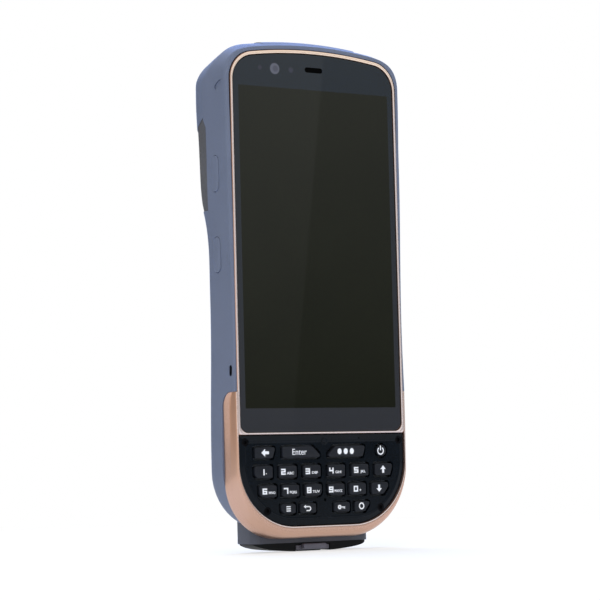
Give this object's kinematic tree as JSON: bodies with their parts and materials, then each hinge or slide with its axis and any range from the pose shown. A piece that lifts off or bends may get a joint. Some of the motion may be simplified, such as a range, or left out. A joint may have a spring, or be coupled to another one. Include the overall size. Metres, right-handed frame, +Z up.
{
  "type": "handheld data terminal",
  "caption": "Handheld barcode data terminal with a tall screen above a key pad, a deeper scan head at the top, a rose-coloured metal rim and a rubber-soled foot.",
  "frame": {"origin": "middle of the bounding box, on the bottom face of the rubber sole", "axes": "+Z up along the length, the screen and keys face -Y, +X to the right of someone looking at the screen"},
  "size_m": [0.0796, 0.0294, 0.1942],
  "materials": {
    "housing_blue": "matte",
    "key_blue": "matte",
    "rose_metal": "satin anodised",
    "black_glass": "polished",
    "screen_black": "gloss",
    "light_alloy": "cast",
    "board_green": "satin",
    "inner_black": "matte",
    "cell_grey": "matte",
    "door_grey": "textured",
    "panel_black": "satin",
    "key_black": "satin",
    "mat_grey": "matte",
    "window_red": "polished",
    "lens_clear": "polished",
    "sole_black": "matte",
    "tab_grey": "matte",
    "steel": "satin",
    "screw_black": "black",
    "gold_contact": "polished",
    "flex_amber": "satin"
  },
  "bodies": {
    "terminal": {"rear_housing": "housing_blue", "front_frame": "rose_metal", "cover_glass": "black_glass", "display_panel": "screen_black", "mid_frame": "light_alloy", "main_board": "board_green", "battery_tray": "inner_black", "battery_pack": "cell_grey", "scan_engine": "inner_black", "scan_bezel": "inner_black", "scan_window": "window_red", "rear_camera": "inner_black", "camera_window": "black_glass", "flash_lens": "lens_clear", "earpiece": "inner_black", "earpiece_mesh": "inner_black", "front_camera": "inner_black", "keypad_panel": "panel_black", "keypad_mat": "mat_grey", "keypad_board": "board_green", "keypad_flex": "flex_amber", "screw_upper_left": "screw_black", "screw_upper_right": "screw_black", "screw_lower_left": "screw_black", "screw_lower_right": "screw_black", "left_switches": "gold_contact", "right_switches": "gold_contact", "foot_sole": "sole_black", "port_pin": "steel", "usb_socket": "steel", "charge_contacts": "gold_contact", "dock_board": "board_green", "loudspeaker": "inner_black"},
    "key_back": {"key_back": "key_black"},
    "key_enter": {"key_enter": "key_black"},
    "key_more": {"key_more": "key_black"},
    "key_power": {"key_power": "key_black"},
    "key_1": {"key_1": "key_black"},
    "key_2": {"key_2": "key_black"},
    "key_3": {"key_3": "key_black"},
    "key_4": {"key_4": "key_black"},
    "key_5": {"key_5": "key_black"},
    "key_up": {"key_up": "key_black"},
    "key_6": {"key_6": "key_black"},
    "key_7": {"key_7": "key_black"},
    "key_8": {"key_8": "key_black"},
    "key_9": {"key_9": "key_black"},
    "key_0": {"key_0": "key_black"},
    "key_down": {"key_down": "key_black"},
    "key_menu": {"key_menu": "key_black"},
    "key_undo": {"key_undo": "key_black"},
    "key_lock": {"key_lock": "key_black"},
    "key_ok": {"key_ok": "key_black"},
    "left_key_upper": {"left_key_upper": "key_blue"},
    "left_key_lower": {"left_key_lower": "key_blue"},
    "right_key_upper": {"right_key_upper": "key_blue"},
    "right_key_lower": {"right_key_lower": "key_blue"},
    "battery_door": {"battery_door": "door_grey"},
    "port_cover": {"port_cover": "tab_grey"}
  },
  "joints": [
    {"name": "key_back_press", "type": "slide", "parent": "terminal", "child": "key_back", "axis": [0, 1, 0], "range_m": [0, 0.0003], "stiffness_N_per_m": 2000},
    {"name": "key_enter_press", "type": "slide", "parent": "terminal", "child": "key_enter", "axis": [0, 1, 0], "range_m": [0, 0.0003], "stiffness_N_per_m": 2000},
    {"name": "key_more_press", "type": "slide", "parent": "terminal", "child": "key_more", "axis": [0, 1, 0], "range_m": [0, 0.0003], "stiffness_N_per_m": 2000},
    {"name": "key_power_press", "type": "slide", "parent": "terminal", "child": "key_power", "axis": [0, 1, 0], "range_m": [0, 0.0003], "stiffness_N_per_m": 2000},
    {"name": "key_1_press", "type": "slide", "parent": "terminal", "child": "key_1", "axis": [0, 1, 0], "range_m": [0, 0.0003], "stiffness_N_per_m": 2000},
    {"name": "key_2_press", "type": "slide", "parent": "terminal", "child": "key_2", "axis": [0, 1, 0], "range_m": [0, 0.0003], "stiffness_N_per_m": 2000},
    {"name": "key_3_press", "type": "slide", "parent": "terminal", "child": "key_3", "axis": [0, 1, 0], "range_m": [0, 0.0003], "stiffness_N_per_m": 2000},
    {"name": "key_4_press", "type": "slide", "parent": "terminal", "child": "key_4", "axis": [0, 1, 0], "range_m": [0, 0.0003], "stiffness_N_per_m": 2000},
    {"name": "key_5_press", "type": "slide", "parent": "terminal", "child": "key_5", "axis": [0, 1, 0], "range_m": [0, 0.0003], "stiffness_N_per_m": 2000},
    {"name": "key_up_press", "type": "slide", "parent": "terminal", "child": "key_up", "axis": [0, 1, 0], "range_m": [0, 0.0003], "stiffness_N_per_m": 2000},
    {"name": "key_6_press", "type": "slide", "parent": "terminal", "child": "key_6", "axis": [0, 1, 0], "range_m": [0, 0.0003], "stiffness_N_per_m": 2000},
    {"name": "key_7_press", "type": "slide", "parent": "terminal", "child": "key_7", "axis": [0, 1, 0], "range_m": [0, 0.0003], "stiffness_N_per_m": 2000},
    {"name": "key_8_press", "type": "slide", "parent": "terminal", "child": "key_8", "axis": [0, 1, 0], "range_m": [0, 0.0003], "stiffness_N_per_m": 2000},
    {"name": "key_9_press", "type": "slide", "parent": "terminal", "child": "key_9", "axis": [0, 1, 0], "range_m": [0, 0.0003], "stiffness_N_per_m": 2000},
    {"name": "key_0_press", "type": "slide", "parent": "terminal", "child": "key_0", "axis": [0, 1, 0], "range_m": [0, 0.0003], "stiffness_N_per_m": 2000},
    {"name": "key_down_press", "type": "slide", "parent": "terminal", "child": "key_down", "axis": [0, 1, 0], "range_m": [0, 0.0003], "stiffness_N_per_m": 2000},
    {"name": "key_menu_press", "type": "slide", "parent": "terminal", "child": "key_menu", "axis": [0, 1, 0], "range_m": [0, 0.0003], "stiffness_N_per_m": 2000},
    {"name": "key_undo_press", "type": "slide", "parent": "terminal", "child": "key_undo", "axis": [0, 1, 0], "range_m": [0, 0.0003], "stiffness_N_per_m": 2000},
    {"name": "key_lock_press", "type": "slide", "parent": "terminal", "child": "key_lock", "axis": [0, 1, 0], "range_m": [0, 0.0003], "stiffness_N_per_m": 2000},
    {"name": "key_ok_press", "type": "slide", "parent": "terminal", "child": "key_ok", "axis": [0, 1, 0], "range_m": [0, 0.0003], "stiffness_N_per_m": 2000},
    {"name": "left_key_upper_press", "type": "slide", "parent": "terminal", "child": "left_key_upper", "axis": [1, 0, 0], "range_m": [0, 0.0003], "stiffness_N_per_m": 3000},
    {"name": "left_key_lower_press", "type": "slide", "parent": "terminal", "child": "left_key_lower", "axis": [1, 0, 0], "range_m": [0, 0.0003], "stiffness_N_per_m": 3000},
    {"name": "right_key_upper_press", "type": "slide", "parent": "terminal", "child": "right_key_upper", "axis": [-1, 0, 0], "range_m": [0, 0.0003], "stiffness_N_per_m": 3000},
    {"name": "right_key_lower_press", "type": "slide", "parent": "terminal", "child": "right_key_lower", "axis": [-1, 0, 0], "range_m": [0, 0.0003], "stiffness_N_per_m": 3000},
    {"name": "battery_door_lift", "type": "slide", "parent": "terminal", "child": "battery_door", "axis": [0, 1, 0], "range_m": [0, 0.03]},
    {"name": "port_cover_hinge", "type": "hinge", "parent": "terminal", "child": "port_cover", "pos_m": [0, 0.0036, 0.0015], "axis": [1, 0, 0], "range_deg": [0, 100]}
  ]
}
